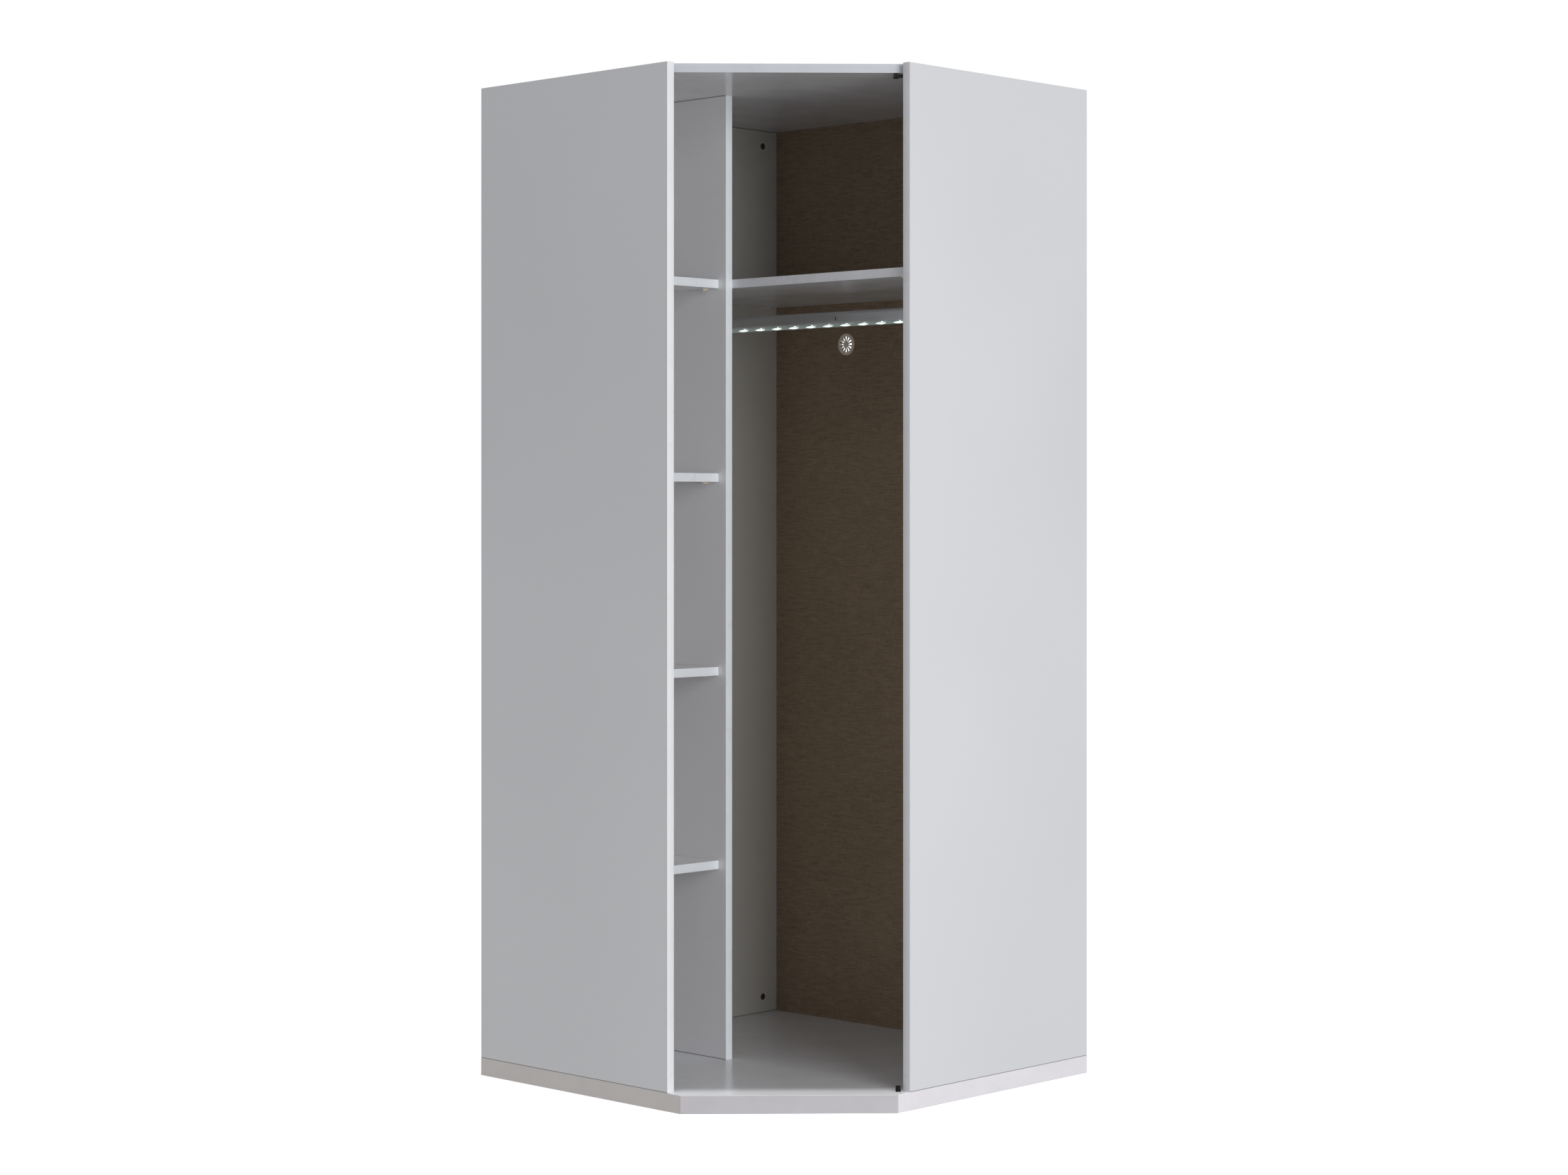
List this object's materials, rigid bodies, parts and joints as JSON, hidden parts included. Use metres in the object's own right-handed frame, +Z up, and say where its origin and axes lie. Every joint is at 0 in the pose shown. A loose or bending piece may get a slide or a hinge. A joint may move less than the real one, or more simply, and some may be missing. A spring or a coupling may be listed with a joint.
{
  "type": "corner wardrobe",
  "caption": "Tall white corner wardrobe carcass with a diagonal open front, a narrow shelf bay beside a divider, a hat shelf and a lit clothes rail over the hanging space.",
  "frame": {"origin": "on the floor, at the middle of the square that the two room walls make", "axes": "+X along the linen-faced back towards the right side panel, +Y towards that back, +Z up; the diagonal opening faces +X and -Y"},
  "size_m": [0.94, 0.94, 2.16],
  "materials": {
    "white_board": "satin white melamine foil on chipboard",
    "plinth_board": "raw chipboard strip under the base",
    "base_edging": "satin white edging",
    "linen_back": "matt taupe linen-weave decor paper on fibreboard",
    "cream_plastic": "moulded cream nylon",
    "rail_metal": "satin anodised",
    "bracket_metal": "satin die-cast",
    "dark_zinc": "dark zinc die-cast and blackened steel",
    "circuit_board": "white solder mask",
    "light_chip": "lit phosphor",
    "clear_cover": "clear extruded plastic",
    "sensor_lens": "dark polished lens",
    "black_plastic": "moulded",
    "cell_can": "plain sleeve",
    "vent_plastic": "moulded taupe plastic",
    "beech": "fluted beech",
    "spring_steel": "drawn wire"
  },
  "bodies": {
    "carcass": {"left_side_panel": "white_board", "right_side_panel": "white_board", "rear_left_wall": "white_board", "rear_right_back": "linen_back", "top_board": "white_board", "bottom_board": "white_board", "plinth_strip_front": "plinth_board", "plinth_strip_left": "plinth_board", "plinth_strip_right": "plinth_board", "plinth_strip_rear_left": "plinth_board", "plinth_strip_rear_right": "plinth_board", "base_edging_front": "base_edging", "base_edging_left": "base_edging", "base_edging_right": "base_edging", "divider_panel": "white_board", "hat_shelf": "white_board", "bay_shelf_supports": "cream_plastic", "hat_shelf_supports": "cream_plastic", "clothes_rail": "rail_metal", "rail_bracket_wall": "bracket_metal", "rail_bracket_side": "bracket_metal", "rail_bracket_screws": "dark_zinc", "light_board": "circuit_board", "light_chips": "light_chip", "light_cover": "clear_cover", "light_sensor": "sensor_lens", "battery_tray": "black_plastic", "battery_cells": "cell_can", "vent_rosette": "vent_plastic", "cam_locks": "dark_zinc", "cam_bolts": "dark_zinc", "wooden_dowels": "beech", "damper_housing": "black_plastic", "damper_spring": "spring_steel", "damper_screw": "dark_zinc", "door_bumper": "black_plastic"},
    "bay_shelf_1": {"bay_shelf_1": "white_board"},
    "bay_shelf_2": {"bay_shelf_2": "white_board"},
    "bay_shelf_3": {"bay_shelf_3": "white_board"},
    "bay_shelf_4": {"bay_shelf_4": "white_board"},
    "damper_plunger": {"damper_plunger": "black_plastic"}
  },
  "joints": [
    {"name": "bay_shelf_1_draw_out", "type": "slide", "parent": "carcass", "child": "bay_shelf_1", "axis": [1, 0, 0], "range_m": [0, 0.356]},
    {"name": "bay_shelf_2_draw_out", "type": "slide", "parent": "carcass", "child": "bay_shelf_2", "axis": [1, 0, 0], "range_m": [0, 0.356]},
    {"name": "bay_shelf_3_draw_out", "type": "slide", "parent": "carcass", "child": "bay_shelf_3", "axis": [1, 0, 0], "range_m": [0, 0.356]},
    {"name": "bay_shelf_4_draw_out", "type": "slide", "parent": "carcass", "child": "bay_shelf_4", "axis": [1, 0, 0], "range_m": [0, 0.356]},
    {"name": "damper_push", "type": "slide", "parent": "carcass", "child": "damper_plunger", "axis": [-0.7071, 0.7071, 0], "range_m": [0, 0.005], "stiffness_N_per_m": 400, "springref_m": -0.006, "deforming": ["damper_spring"]}
  ]
}
